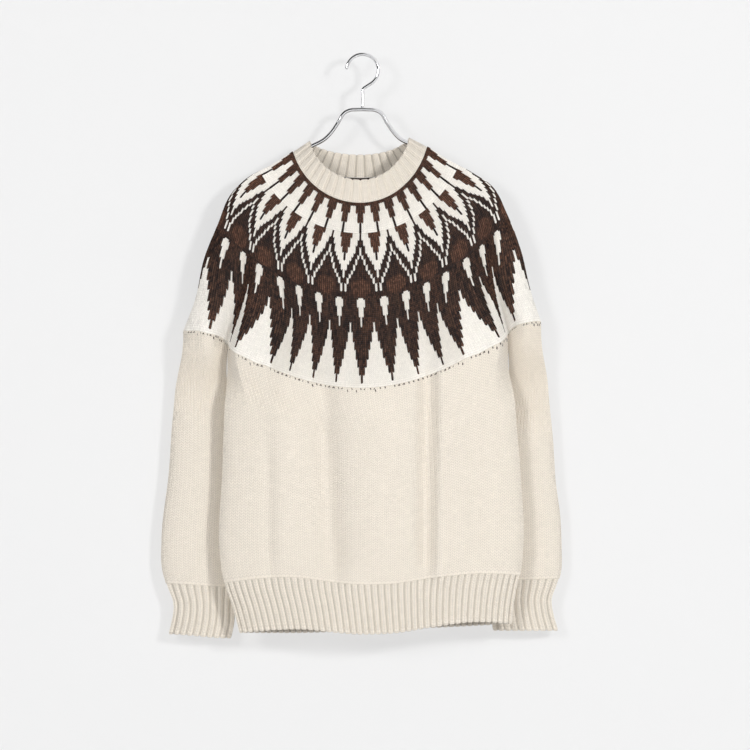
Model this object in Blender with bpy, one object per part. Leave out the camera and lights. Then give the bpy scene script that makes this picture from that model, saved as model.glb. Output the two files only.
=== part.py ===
"""A Nordic yoke sweater hanging on a wire hanger.

Sizes are in millimetres and are turned into metres when a mesh is made. The origin is the
underside of the hook's crown, +Z is up and the sweater's front faces -Y. "down" is a distance
below the origin, so z = -down.

The yoke and the collar are one surface, read at v (down the cloth: 0 at the seam under the
collar, 1 at the pick-up row of the body) and u (round the neck: 0 at the front's middle,
0.25 at the right shoulder line, 0.5 at the back's middle). The body and the sleeves hang
from the yoke's lower edge.
"""

import bpy
import numpy as np
from math import cos, pi, radians, sin

MM = 0.001
SEAM = 0.3                  # between two pieces
WALL = 3.0                  # thickness of the knitted cloth
COLLAR_WALL = 4.0           # the collar is doubled over
COLLAR_TOP = -0.125         # v of the collar's folded edge
YOKE_TOP_EDGE = 0.0007      # v, half a seam below 0
YOKE_LOW_EDGE = 0.998       # v, a seam above 1

CREASE_U = 0.183            # where body and sleeve part at the yoke's lower edge
CREASE_SEAM_U = 0.0002
RIDGE_ROUND = 0.3           # how round the cloth lies over the hanger's arm
MIDDLE_X = -3.0             # of front and back
CREASE_WIDTH = 13.0
CREASE_STEP = 10.0          # the pick-up row is higher on the sleeve than on the body
CREASE_STEP_WIDTH = 9.0
CREASE_STEP_REACH = 45.0
CREASE_STEP_END = (40.0, 60.0)
CREASE_MEETING = 35.0       # over this width front and back come to one height
FRONT_CREASE_Y = 6.0
BACK_CREASE_Y = 12.6

RIB_HEIGHT = 1.6
COLLAR_RIBS = {"front": 20, "back": 17}
HEM_RIBS = 46               # on each half
CUFF_RIBS = 20              # all round
RIB_SHAPE = ((0.0, 0.0), (0.22, 1.0), (0.78, 1.0))  # places across a rib, and its height there
COLLAR_RIB_ROWS = (0.5, 1.0, 0.6)                   # height of the ribs down the piece
HEM_RIB_ROWS = (0.7, 1.0, 1.0)

ROD_RADIUS = 2.8
ROD_SIDES = 8
ROD_CLEARANCE = 0.8         # before the cloth's facets, which lie a little lower
HOOK_WIRE = 2.5             # radius
HOOK_BEND = 22.5            # radius of the crown, at the wire's middle
HOOK_NECK_BEND = 5.0        # where its slanted run meets the stem
HOOK_TIP_ANGLE = 172.0
HOOK_TURN_ANGLE = -57.0     # where the crown ends and runs straight on
HOOK_STEM_X = 0.3
BAR_DOWN = 76.0
SHARP_ANGLE = radians(50)
HOOK_FOOT_DOWN = BAR_DOWN - ROD_RADIUS * cos(pi / ROD_SIDES) - SEAM

WOOL_CREAM = (0.86, 0.80, 0.70)
WOOL_BROWN = (0.22, 0.14, 0.11)
CHROME = (0.80, 0.80, 0.82)


def table(names, *rows):
    """A table with named columns; its first column is where a row lies."""
    return dict(zip(names, np.array(rows, float).T))


# The shoulder line, where the front of the yoke turns over to the back
SHOULDER = table(
    ("v", "left_x", "left_down", "right_x", "right_down"),
    (-0.125, -76, 121, 67, 116),
    (0.00, -99, 136, 92, 129),
    (0.10, -127, 154, 118, 146),
    (0.24, -165, 175, 157, 167),
    (0.35, -188, 199, 185, 187),
    (0.48, -204, 237, 204, 223),
    (0.67, -225, 290, 225, 279),
    (0.85, -237, 346, 238, 335),
    (1.00, -254, 390, 253, 380),
)

# The rings of the collar and yoke: depths at the shoulder line and at both middles
RINGS = table(
    ("v", "edge_y", "front_y", "front_down", "back_y", "back_down", "bend"),
    (-0.125, 0, -42, 178, 38, 140, 1.0),
    (0.00, 0, -48, 210, 42, 172, 1.0),
    (0.41, 1, -54, 316, 45, 282, 1.45),
    (0.70, 5, -56, 392, 45, 360, 1.85),
    (1.00, 9, -56, 471, 42, 440, 2.2),
)

# The folds between body and sleeve in the lower yoke
CREASES = table(
    ("v", "left_x", "right_x", "share"),
    (0.45, -160, 178, 0.0),
    (0.60, -165, 184, 0.12),
    (0.80, -177, 193, 0.55),
    (1.00, -192, 207, 1.0),
)

# The body tube: its side edges, and its depth at the sides and both middles
BODY = table(
    ("down", "left_x", "right_x", "edge_y", "front_y", "back_y"),
    (415, -192, 207, 8, -55, 41),
    (440, -191, 206, -8, -55, 38),
    (465, -193, 212, -18, -54, 34),
    (528, -196, 218, -18, -53, 32),
    (588, -198, 223, -18, -53, 32),
    (700, -202, 227, -18, -50, 31),
    (730, -199, 224, -18, -48, 30),
    (752, -194, 219, -17, -45, 28),
    (782, -184, 214, -16, -42, 26),
    (820, -174, 211, -16, -40, 25),
)

# The sleeves and cuffs: outer and inner edge of each, middle and half depth
LEFT_SLEEVE = table(
    ("down", "outer_x", "inner_x", "middle_y", "half_depth"),
    (395, -256, -192, 11, 11),
    (415, -259, -194, 15, 11),
    (440, -263, -196, 24, 12),
    (485, -267, -188, 27, 13),
    (528, -271, -180, 28, 15),
    (588, -275, -174, 28, 16),
    (689, -286, -172, 28, 16),
    (730, -285, -174, 28, 15),
    (755, -278, -178, 28, 13),
    (778, -270, -181, 27, 12),
    (806, -273, -182, 27, 12),
    (826, -278, -186, 27, 13),
)
RIGHT_SLEEVE = table(
    ("down", "outer_x", "inner_x", "middle_y", "half_depth"),
    (385, 254, 207, 11, 11),
    (410, 257, 208, 15, 11),
    (440, 261, 210, 24, 12),
    (488, 265, 199, 27, 13),
    (548, 271, 184, 29, 15),
    (608, 275, 176, 29, 16),
    (652, 281, 173, 29, 16),
    (696, 283, 172, 29, 16),
    (735, 282, 175, 29, 15),
    (752, 277, 178, 28, 13),
    (772, 270, 181, 28, 12),
    (791, 272, 182, 28, 12),
    (816, 279, 185, 28, 13),
)

# Lower edges of body and hem across the front (-1 at the left side, 1 at the right) and back
FRONT_EDGES = table(
    ("across", "rib_top", "hem_edge"),
    (-1.0, 748, 817),
    (-0.55, 739, 811),
    (-0.1, 749, 818),
    (0.15, 748, 816),
    (0.4, 740, 808),
    (0.7, 734, 801),
    (1.0, 737, 804),
)
BACK_EDGES = table(
    ("across", "rib_top", "hem_edge"),
    (-1.0, 748, 817),
    (-0.5, 750, 818),
    (0.0, 745, 814),
    (0.5, 742, 810),
    (1.0, 737, 804),
)

# Cuff edges at the outer and inner side
CUFFS = {
    "left": {"rib_top": (750, 755), "cuff_edge": (820, 826)},
    "right": {"rib_top": (743, 746), "cuff_edge": (815, 815)},
}

# Soft upright folds: where they lie at their top and foot, how deep and wide, from where to where
FRONT_FOLDS = (
    {"top_x": -64, "foot_x": -42, "depth": 11, "width": 26, "top": 340, "foot": 745},
    {"top_x": 94, "foot_x": 91, "depth": 10, "width": 18, "top": 350, "foot": 745},
    {"top_x": -115, "foot_x": -114, "depth": -3, "width": 16, "top": 370, "foot": 730},
    {"top_x": 114, "foot_x": 140, "depth": -3, "width": 16, "top": 400, "foot": 730},
    {"top_x": 20, "foot_x": 22, "depth": -4, "width": 26, "top": 400, "foot": 730},
)
BACK_FOLDS = (
    {"top_x": 30, "foot_x": 44, "depth": 8, "width": 24, "top": 320, "foot": 735},
    {"top_x": -78, "foot_x": -92, "depth": 6, "width": 20, "top": 350, "foot": 745},
    {"top_x": 118, "foot_x": 126, "depth": 4, "width": 18, "top": 390, "foot": 690},
    {"top_x": -22, "foot_x": -24, "depth": -4, "width": 22, "top": 400, "foot": 700},
)
FOLD_FADE = 70.0            # length over which a fold starts and ends
FOLD_LEFT_AT_FOOT = 0.3
FOLDLESS_SIDE = (150.0, 190.0)

# The hanger's bar and neck, from the middle out to the collar
HANGER_NECK = table(
    ("x", "below_bar"),
    (7, 0.0),
    (18, 0.8),
    (25, 4.0),
    (35, 19.0),
    (44, 32.0),
    (54, 42.0),
)
ROD_STEP = 8.0              # length of its straight facets
HOOK_CROWN_POINTS = 30
HOOK_NECK_POINTS = 6

# Rows of the pieces, in shares of their length
YOKE_ROWS = (YOKE_TOP_EDGE, 0.05, 0.1, 0.17, 0.24, 0.31, 0.4, 0.5, 0.6, 0.7, 0.8, 0.9, YOKE_LOW_EDGE)
COLLAR_ROWS = (COLLAR_TOP, COLLAR_TOP / 2, -YOKE_TOP_EDGE)
BODY_ROWS = (0.0, 0.06, 0.16, 0.3, 0.5, 0.75, 0.9, 0.9992)
SLEEVE_ROWS = (0.0, 0.05, 0.12, 0.2, 0.32, 0.46, 0.6, 0.74, 0.86, 0.94, 0.9995)
UNDER_CREASE = slice(1, 4)  # rows of body and sleeve that face each other
HEM_ROWS = (1.006, 1.5, 2.0)
CUFF_ROWS = (1.004, 1.4, 2.0)
BODY_COLUMNS = 27
CLOSER_AT_SIDES = 0.92      # below 1, the body's columns lie closer at its sides
SLEEVE_COLUMNS = (1.0, 0.88, 0.72, 0.54, 0.36, 0.2, 0.08, 0.0)
QUARTER_POINTS = 181        # on a line that is parted by length
ARC_POINTS = 241
SLOPE_STEP = 1e-4           # between the points that give a surface's slope
ARM_SLOPE_STEP = 0.01
BODY_BLEND = 0.3            # share of the body over which the yoke's shape becomes the tube's
SLEEVE_BLEND = 0.25
SLEEVE_SIDE_ANGLE = 176.0   # the sleeve's fold lies just short of its ellipse's end
ARM_STOPS = (-0.11, -0.05, 0.02, 0.1, 0.18, 0.24, 0.28)


def read(chart, name, at):
    """A column's value at a place between the rows, on a smooth curve through them."""
    keys = next(iter(chart.values()))
    values = chart[name]
    slopes = np.gradient(values, keys)
    at = np.clip(at, keys[0], keys[-1])
    row = np.clip(np.searchsorted(keys, at) - 1, 0, len(keys) - 2)
    span = keys[row + 1] - keys[row]
    t = (at - keys[row]) / span
    start = (1 + 2 * t) * (1 - t) ** 2 * values[row] + t * (1 - t) ** 2 * span * slopes[row]
    end = t * t * (3 - 2 * t) * values[row + 1] + t * t * (t - 1) * span * slopes[row + 1]
    return start + end


def ease(t):
    t = np.clip(t, 0, 1)
    return t * t * (3 - 2 * t)


def fade_out(at, start, end):
    """1 up to a place, falling softly to 0 at another."""
    return 1 - ease((at - start) / (end - start))


def fold_depth(folds, x, down):
    """How far soft folds push the cloth in at a place on the front or back."""
    total = 0.0
    for fold in folds:
        along = (down - fold["top"]) / (fold["foot"] - fold["top"])
        middle = fold["top_x"] + (fold["foot_x"] - fold["top_x"]) * np.clip(along, 0, 1)
        shape = np.exp(-(((x - middle) / fold["width"]) ** 2))
        start = ease((down - fold["top"]) / FOLD_FADE)
        end = ease((fold["foot"] - down) / FOLD_FADE + FOLD_LEFT_AT_FOOT)
        total = total + fold["depth"] * shape * start * end
    return total * fade_out(np.abs(x), *FOLDLESS_SIDE)


def shares_of_length(points):
    steps = np.linalg.norm(np.diff(points, axis=0), axis=1)
    length = np.concatenate([[0], np.cumsum(steps)])
    return length / length[-1]


def yoke_quarter(v, side, half):
    """A ring of the yoke from the middle of the front or back to a shoulder, as close points."""
    edge_x = read(SHOULDER, side + "_x", v)
    edge_down = read(SHOULDER, side + "_down", v)
    angle = np.linspace(0, pi / 2, QUARTER_POINTS)
    forward = np.cos(angle)
    x = MIDDLE_X + (edge_x - MIDDLE_X) * np.sin(angle)
    edge_y = read(RINGS, "edge_y", v)
    y = edge_y + (read(RINGS, half + "_y", v) - edge_y) * forward
    drop = np.sqrt(forward**2 + RIDGE_ROUND**2) - RIDGE_ROUND
    drop = (drop / drop[0]) ** read(RINGS, "bend", v)
    middle_down = read(RINGS, half + "_down", v)

    share = read(CREASES, "share", v) if v > CREASES["v"][0] else 0.0
    if share > 0:
        way = -1 if side == "left" else 1
        bottom_y = FRONT_CREASE_Y if half == "front" else BACK_CREASE_Y
        away = (x - read(CREASES, side + "_x", v)) * way
        both_down = (read(RINGS, "front_down", v) + read(RINGS, "back_down", v)) / 2
        meeting = share * np.exp(-((away / CREASE_MEETING) ** 2))
        middle_down = middle_down + (both_down - middle_down) * meeting
    down = edge_down + (middle_down - edge_down) * drop
    if share > 0:
        reach = np.exp(-((away / CREASE_WIDTH) ** 2))
        y = y + (bottom_y - np.interp(0, away, y)) * share * reach
        step = np.tanh(away / CREASE_STEP_WIDTH) * np.exp(-np.abs(away) / CREASE_STEP_REACH)
        down = down - CREASE_STEP * share * step * fade_out(np.abs(away), *CREASE_STEP_END)
    return np.stack([x, y, -down], axis=1), share


def yoke(u, v):
    """Points of collar and yoke at places u round the ring v."""
    u = (np.asarray(u, float) + 0.5) % 1.0 - 0.5
    points = np.zeros(u.shape + (3,))
    for side, way in (("left", -1), ("right", 1)):
        for half in ("front", "back"):
            share = np.abs(u) / 0.25 if half == "front" else (0.5 - np.abs(u)) / 0.25
            here = (u * way >= 0) & (share <= 1)
            if not here.any():
                continue
            line, crease_share = yoke_quarter(v, side, half)
            places = shares_of_length(line)
            knot = CREASE_U / 0.25
            if crease_share > 0:
                crease_place = np.interp(read(CREASES, side + "_x", v) * way, line[:, 0] * way, places)
                moved = knot + (crease_place - knot) * crease_share
            else:
                moved = knot
            place = np.interp(share[here], [0, knot, 1], [0, moved, 1])
            for axis in range(3):
                points[here, axis] = np.interp(place, places, line[:, axis])
    front = np.abs(u) <= 0.25
    down = -points[..., 2]
    press = np.where(
        front,
        fold_depth(FRONT_FOLDS, points[..., 0], down),
        -fold_depth(BACK_FOLDS, points[..., 0], down),
    )
    points[..., 1] += press
    return points


def even_angles(across, deep, start, stop, shares):
    """Angles that part an ellipse's arc evenly along its length."""
    angle = np.linspace(start, stop, ARC_POINTS)
    line = np.stack([across * np.cos(angle), deep * np.sin(angle)], axis=1)
    return np.interp(shares, shares_of_length(line), angle)


def body(c, w):
    """Points of the body (w from 0 to 1) and hem (1 to 2).

    c goes round: -1 to 1 across the front from side to side, 1 to 3 across the back.
    """
    c = (np.asarray(c, float) + 1.0) % 4.0 - 1.0
    front = c <= 1
    across = np.where(front, c, 2 - c)
    u = np.where(front, across * CREASE_U, 0.5 - across * CREASE_U)
    top = yoke(u, 1.0)
    edges = [
        np.where(front, read(FRONT_EDGES, name, across), read(BACK_EDGES, name, across))
        for name in ("rib_top", "hem_edge")
    ]
    if w <= 1:
        down = -top[..., 2] + (edges[0] + top[..., 2]) * w
    else:
        down = edges[0] + (edges[1] - edges[0]) * (w - 1)

    middle_down = float(np.mean(down))
    left = read(BODY, "left_x", middle_down)
    right = read(BODY, "right_x", middle_down)
    half_width = (right - left) / 2
    shares = (across + 1) / 2
    deep = (read(BODY, "back_y", middle_down) - read(BODY, "front_y", middle_down)) / 2
    angle = even_angles(half_width, deep, pi, 0, shares)
    x_left = read(BODY, "left_x", down)
    x_right = read(BODY, "right_x", down)
    x = (x_left + x_right) / 2 + (x_right - x_left) / 2 * np.cos(angle)
    edge_y = read(BODY, "edge_y", down)
    reach = np.where(front, read(BODY, "front_y", down), read(BODY, "back_y", down)) - edge_y
    y = edge_y + reach * np.abs(np.sin(angle))
    press = np.where(front, fold_depth(FRONT_FOLDS, x, down), -fold_depth(BACK_FOLDS, x, down))
    tube = np.stack([x, y + press, -down], axis=-1)
    hung = top.copy()
    hung[..., 2] = -down
    blend = ease(w / BODY_BLEND)
    return hung * (1 - blend) + tube * blend


def sleeve(c, w, side):
    """Points of a sleeve (w from 0 to 1) and cuff (1 to 2).

    c goes round from the front crease (-1) over the outer edge (0) to the back crease (1).
    """
    c = np.asarray(c, float)
    way = -1 if side == "left" else 1
    chart = LEFT_SLEEVE if side == "left" else RIGHT_SLEEVE
    crease = CREASE_U + CREASE_SEAM_U
    top = yoke(way * (0.25 + c * (0.25 - crease)), 1.0)
    inward = (1 - np.cos(c * pi)) / 2
    rib_top, cuff_edge = (
        CUFFS[side][name][0] + (CUFFS[side][name][1] - CUFFS[side][name][0]) * inward
        for name in ("rib_top", "cuff_edge")
    )
    if w <= 1:
        down = -top[..., 2] + (rib_top + top[..., 2]) * w
    else:
        down = rib_top + (cuff_edge - rib_top) * (w - 1)
    middle_down = float(np.mean(down))
    half_width = abs(read(chart, "outer_x", middle_down) - read(chart, "inner_x", middle_down)) / 2
    deep = read(chart, "half_depth", middle_down)
    angle = np.sign(c) * even_angles(half_width, deep, 0, radians(SLEEVE_SIDE_ANGLE), np.abs(c))
    outer = read(chart, "outer_x", down)
    inner = read(chart, "inner_x", down)
    x = (outer + inner) / 2 + (outer - inner) / 2 * np.cos(angle)
    y = read(chart, "middle_y", down) + read(chart, "half_depth", down) * np.sin(angle)
    tube = np.stack([x, y, -down], axis=-1)
    hung = top.copy()
    hung[..., 2] = -down
    blend = ease(w / SLEEVE_BLEND)
    return hung * (1 - blend) + tube * blend


def surface(shape, across, downward):
    """Points and outward normals of a surface on a grid."""
    tiny = SLOPE_STEP
    points = np.array([shape(across, v) for v in downward])
    along = np.array([shape(across + tiny, v) - shape(across - tiny, v) for v in downward])
    fall = np.array([shape(across, v + tiny) - shape(across, v - tiny) for v in downward])
    normals = np.cross(fall, along)
    normals /= np.linalg.norm(normals, axis=-1, keepdims=True)
    return points, normals


def yoke_normals_at_edge(u):
    """Normals of the yoke along its lower edge."""
    normals = surface(yoke, u, [1 - 2 * SLOPE_STEP])[1]
    return normals[0]


def solid(name, outer, inner, material, closed=False):
    """A wall between two grids of points, as one closed mesh.

    Rims are parted into triangles the same way on every piece, so two rims that meet match.
    """
    rows, columns = outer.shape[:2]
    points = np.concatenate([outer.reshape(-1, 3), inner.reshape(-1, 3)]) * MM
    other = rows * columns
    faces = []
    for row in range(rows - 1):
        for column in range(columns if closed else columns - 1):
            beside = (column + 1) % columns
            a, b = row * columns + column, row * columns + beside
            c, d = a + columns, b + columns
            faces.append((a, c, d, b))
            faces.append((other + a, other + b, other + d, other + c))
    low = (rows - 1) * columns
    for column in range(columns if closed else columns - 1):
        beside = (column + 1) % columns
        faces.append((column, beside, other + beside))
        faces.append((column, other + beside, other + column))
        faces.append((low + beside, low + column, other + low + beside))
        faces.append((low + column, other + low + column, other + low + beside))
    if not closed:
        for row in range(rows - 1):
            a, c = row * columns, (row + 1) * columns
            faces.append((c, a, other + c))
            faces.append((a, other + a, other + c))
            b, d = a + columns - 1, c + columns - 1
            faces.append((b, d, other + d))
            faces.append((b, other + d, other + b))
    mesh = bpy.data.meshes.new(name)
    mesh.from_pydata(points.tolist(), [], faces)
    mesh.materials.append(material)
    mesh.shade_smooth()
    mesh.set_sharp_from_angle(angle=SHARP_ANGLE)
    thing = bpy.data.objects.new(name, mesh)
    bpy.context.collection.objects.link(thing)
    return thing


def rib_columns(ribs):
    """Places across a ribbed piece, from 0 to 1, and how far the cloth is raised there."""
    places = []
    raised = []
    for rib in range(ribs):
        for place, height in RIB_SHAPE:
            places.append((rib + place) / ribs)
            raised.append(height)
    places.append(1.0)
    raised.append(0.0)
    return np.array(places), np.array(raised) * RIB_HEIGHT


def part_at_sides(grid, way):
    """Leaves half a seam between the front (way -1) and the back (way 1) along both edges."""
    grid[:, 0, 1] += way * SEAM / 2
    grid[:, -1, 1] += way * SEAM / 2


def material(name, colour, roughness, metallic=0.0):
    made = bpy.data.materials.new(name)
    made.use_nodes = True
    shader = made.node_tree.nodes["Principled BSDF"]
    shader.inputs["Base Color"].default_value = (*colour, 1.0)
    shader.inputs["Roughness"].default_value = roughness
    shader.inputs["Metallic"].default_value = metallic
    made.diffuse_color = (*colour, 1.0)
    return made


def body_columns():
    """Places across a half of the body, closer at its sides."""
    even = np.linspace(-1, 1, BODY_COLUMNS)
    return np.sign(even) * np.abs(even) ** CLOSER_AT_SIDES


def yoke_columns(half):
    """Places round the yoke's front or back that match the body's and sleeves' columns."""
    middle = body_columns() * (CREASE_U - CREASE_SEAM_U)
    crease = CREASE_U + CREASE_SEAM_U
    side = 0.25 - np.array(SLEEVE_COLUMNS) * (0.25 - crease)
    front = np.concatenate([-side[::-1], middle, side])
    return front if half == "front" else 0.5 + front


def make_yoke(cloth):
    for half, way in (("front", -1), ("back", 1)):
        across = yoke_columns(half)
        outer, normals = surface(yoke, across, YOKE_ROWS)
        inner = outer - normals * WALL
        part_at_sides(outer, way)
        part_at_sides(inner, way)
        solid("yoke_" + half, outer, inner, cloth)


def make_collar(cloth):
    for half, way in (("front", -1), ("back", 1)):
        places, raised = rib_columns(COLLAR_RIBS[half])
        across = -0.25 + 0.5 * places if half == "front" else 0.25 + 0.5 * places
        outer, normals = surface(yoke, across, COLLAR_ROWS)
        inner = outer - normals * COLLAR_WALL
        lift = raised[None, :] * np.array(COLLAR_RIB_ROWS)[:, None]
        outer = outer + normals * (lift[..., None] - RIB_HEIGHT / 2)
        part_at_sides(outer, way)
        part_at_sides(inner, way)
        solid("collar_" + half, outer, inner, cloth)


def make_body(cloth):
    for half, way in (("front", -1), ("back", 1)):
        across = body_columns() * (1 - CREASE_SEAM_U / CREASE_U)
        across = across if half == "front" else 2 + across
        outer, normals = surface(body, across, BODY_ROWS)
        u = across * CREASE_U if half == "front" else 0.5 - (2 - across) * CREASE_U
        normals[0] = yoke_normals_at_edge(u)
        normals[UNDER_CREASE, 0 if half == "front" else -1] = (-1, 0, 0)
        normals[UNDER_CREASE, -1 if half == "front" else 0] = (1, 0, 0)
        inner = outer - normals * WALL
        part_at_sides(outer, way)
        part_at_sides(inner, way)
        solid("body_" + half, outer, inner, cloth)


def make_hem(cloth):
    places, raised = rib_columns(HEM_RIBS)
    for half, way in (("front", -1), ("back", 1)):
        across = -1 + 2 * places if half == "front" else 1 + 2 * places
        outer, normals = surface(body, across, HEM_ROWS)
        inner = outer - normals * WALL
        lift = raised[None, :] * np.array(HEM_RIB_ROWS)[:, None]
        outer = outer + normals * (lift[..., None] - RIB_HEIGHT / 2)
        part_at_sides(outer, way)
        part_at_sides(inner, way)
        solid("hem_" + half, outer, inner, cloth)


def make_sleeve(cloth, side):
    half = np.array(SLEEVE_COLUMNS)
    across = np.concatenate([-half, half[-2::-1]])
    way = 1 if side == "right" else -1

    def shape(c, w):
        return sleeve(c, w, side)

    outer, normals = surface(shape, across, SLEEVE_ROWS)
    crease = CREASE_U + CREASE_SEAM_U
    normals[0] = yoke_normals_at_edge(way * (0.25 + across * (0.25 - crease)))
    normals[1:] *= way
    normals[UNDER_CREASE, 0] = (-way, 0, 0)
    normals[UNDER_CREASE, -1] = (-way, 0, 0)
    if side == "left":
        outer, normals = outer[:, ::-1], normals[:, ::-1]
    solid("sleeve_" + side, outer, outer - normals * WALL, cloth, closed=True)


def make_cuff(cloth, side):
    places, raised = rib_columns(CUFF_RIBS)
    across = -1 + 2 * places[:-1]
    way = 1 if side == "right" else -1

    def shape(c, w):
        return sleeve(c, w, side)

    outer, normals = surface(shape, across, CUFF_ROWS)
    normals *= way
    inner = outer - normals * WALL
    outer = outer + normals * (raised[None, :-1, None] - RIB_HEIGHT / 2)
    if side == "left":
        outer, inner = outer[:, ::-1], inner[:, ::-1]
    solid("cuff_" + side, outer, inner, cloth, closed=True)


def rod(name, path, radius, metal):
    """A round bar along a path in the plane y = 0, with flat ends."""
    path = np.array(path, float)
    ahead = np.gradient(path, axis=0)
    ahead /= np.linalg.norm(ahead, axis=1, keepdims=True)
    points = []
    for (x, z), (dx, dz) in zip(path, ahead):
        for side in range(ROD_SIDES):
            angle = 2 * pi * (side + 0.5) / ROD_SIDES
            out, deep = radius * cos(angle), radius * sin(angle)
            points.append(((x - dz * out) * MM, deep * MM, (z + dx * out) * MM))
    faces = []
    for ring in range(len(path) - 1):
        for side in range(ROD_SIDES):
            a, b = ring * ROD_SIDES + side, ring * ROD_SIDES + (side + 1) % ROD_SIDES
            faces.append((a, a + ROD_SIDES, b + ROD_SIDES, b))
    last = (len(path) - 1) * ROD_SIDES
    faces.append(tuple(range(ROD_SIDES)))
    faces.append(tuple(reversed(range(last, last + ROD_SIDES))))
    mesh = bpy.data.meshes.new(name)
    mesh.from_pydata(points, [], faces)
    mesh.materials.append(metal)
    mesh.shade_smooth()
    mesh.set_sharp_from_angle(angle=SHARP_ANGLE)
    thing = bpy.data.objects.new(name, mesh)
    bpy.context.collection.objects.link(thing)
    return thing


def arm_under_cloth(side):
    """Where a hanger arm lies, just under the shoulder line of collar and yoke."""
    points = []
    for v in ARM_STOPS:
        x, down = read(SHOULDER, side + "_x", v), read(SHOULDER, side + "_down", v)
        before, after = v - ARM_SLOPE_STEP, v + ARM_SLOPE_STEP
        ahead = np.array([
            read(SHOULDER, side + "_x", after) - read(SHOULDER, side + "_x", before),
            read(SHOULDER, side + "_down", before) - read(SHOULDER, side + "_down", after),
        ])
        ahead /= np.linalg.norm(ahead)
        inward = np.array([-abs(ahead[1]) * np.sign(x), -abs(ahead[0])])
        wall = COLLAR_WALL if v < ARM_STOPS[3] else WALL
        points.append(np.array([x, -down]) + inward * (wall + ROD_CLEARANCE + ROD_RADIUS))
    return points


def smooth_path(points, step):
    """A smooth curve through points, with a point about every step."""
    points = np.array(points, float)
    length = np.concatenate([[0], np.cumsum(np.linalg.norm(np.diff(points, axis=0), axis=1))])
    chart = {"at": length, "x": points[:, 0], "z": points[:, 1]}
    at = np.linspace(0, length[-1], int(length[-1] / step))
    return np.stack([read(chart, "x", at), read(chart, "z", at)], axis=1)


def make_hanger(metal):
    neck = [(x, -BAR_DOWN - below) for x, below in zip(HANGER_NECK["x"], HANGER_NECK["below_bar"])]
    left = [(-x, z) for x, z in neck] + arm_under_cloth("left")
    right = neck + arm_under_cloth("right")
    rod("hanger_rod", smooth_path(left[::-1] + right, ROD_STEP), ROD_RADIUS, metal)

    centre_z = HOOK_WIRE - HOOK_BEND
    crown = [
        (HOOK_BEND * cos(radians(a)), centre_z + HOOK_BEND * sin(radians(a)))
        for a in np.linspace(HOOK_TIP_ANGLE, HOOK_TURN_ANGLE, HOOK_CROWN_POINTS)
    ]
    turn = radians(HOOK_TURN_ANGLE)
    corner_z = crown[-1][1] + (crown[-1][0] - HOOK_STEM_X) / sin(turn) * cos(turn)
    bend_x = HOOK_STEM_X + HOOK_NECK_BEND
    bend_z = corner_z + HOOK_NECK_BEND * sin(turn / 2) / cos(turn / 2)
    neck_bend = [
        (bend_x + HOOK_NECK_BEND * cos(a), bend_z + HOOK_NECK_BEND * sin(a))
        for a in np.linspace(pi + turn, pi, HOOK_NECK_POINTS)
    ]
    foot = [(HOOK_STEM_X, -HOOK_FOOT_DOWN)]
    rod("hanger_hook", crown + neck_bend + foot, HOOK_WIRE, metal)


def main():
    for thing in list(bpy.data.objects):
        bpy.data.objects.remove(thing, do_unlink=True)
    cream = material("cream wool", WOOL_CREAM, 0.95)
    brown = material("brown and white wool", WOOL_BROWN, 0.95)
    metal = material("chrome", CHROME, 0.12, 1.0)
    make_collar(cream)
    make_yoke(brown)
    make_body(cream)
    make_hem(cream)
    for side in ("left", "right"):
        make_sleeve(cream, side)
        make_cuff(cream, side)
    make_hanger(metal)


main()
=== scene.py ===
from math import cos, pi, radians, sin

import bmesh
import bpy
import numpy as np
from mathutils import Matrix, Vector


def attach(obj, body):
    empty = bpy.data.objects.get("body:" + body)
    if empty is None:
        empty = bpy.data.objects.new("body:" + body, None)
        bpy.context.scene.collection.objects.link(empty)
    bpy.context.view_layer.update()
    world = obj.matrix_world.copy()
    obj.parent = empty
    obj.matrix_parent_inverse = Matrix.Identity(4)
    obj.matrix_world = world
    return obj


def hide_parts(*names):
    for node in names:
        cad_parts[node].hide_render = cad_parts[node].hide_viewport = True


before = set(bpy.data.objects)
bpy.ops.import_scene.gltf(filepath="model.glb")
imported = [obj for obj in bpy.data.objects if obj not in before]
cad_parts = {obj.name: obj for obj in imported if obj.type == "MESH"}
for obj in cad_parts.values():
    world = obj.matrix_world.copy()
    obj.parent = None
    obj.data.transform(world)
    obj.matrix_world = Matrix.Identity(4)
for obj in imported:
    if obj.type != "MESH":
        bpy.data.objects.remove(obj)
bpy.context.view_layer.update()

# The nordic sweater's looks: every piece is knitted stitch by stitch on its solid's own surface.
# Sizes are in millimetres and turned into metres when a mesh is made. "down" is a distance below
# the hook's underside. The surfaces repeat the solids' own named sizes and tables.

MM = 0.001
SHARP_ANGLE = 75.0

# Walls of the solids, and of the knit, which is thinner by its stitches' relief
WALL = 3.0
COLLAR_WALL = 4.0
KNIT_WALL = WALL - 0.6
COLLAR_KNIT_WALL = COLLAR_WALL - 0.8

# The collar's places down the yoke's rings, up to just above its seam
COLLAR_TOP = -0.125
COLLAR_FOOT = -0.002

# The yoke's rings: their middle, and how round they turn over at the shoulder line
MIDDLE_X = -3.0
RIDGE_ROUND = 0.3

# The creases that part body and sleeves, and the step in height across each
CREASE_U = 0.183
CREASE_SEAM_U = 0.0002
CREASE_WIDTH = {"body": 7.0, "sleeve": 16.0}
CREASE_STEP = 10.0
CREASE_STEP_WIDTH = 9.0
CREASE_STEP_REACH = 45.0
CREASE_STEP_END = (40.0, 60.0)
CREASE_MEETING = 35.0
FRONT_CREASE_Y = 6.0
BACK_CREASE_Y = 12.6

# Ribs, wales and rows of the knitted pieces
COLLAR_RIBS = {"front": 20, "back": 17}
HEM_RIBS = 92
CUFF_RIBS = 20
COLLAR_ROWS, HEM_ROWS, CUFF_ROWS = 13, 19, 20
BODY_WALES, BODY_ROWS = 148, 80
SLEEVE_WALES, SLEEVE_ROWS = 37, 101

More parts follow.
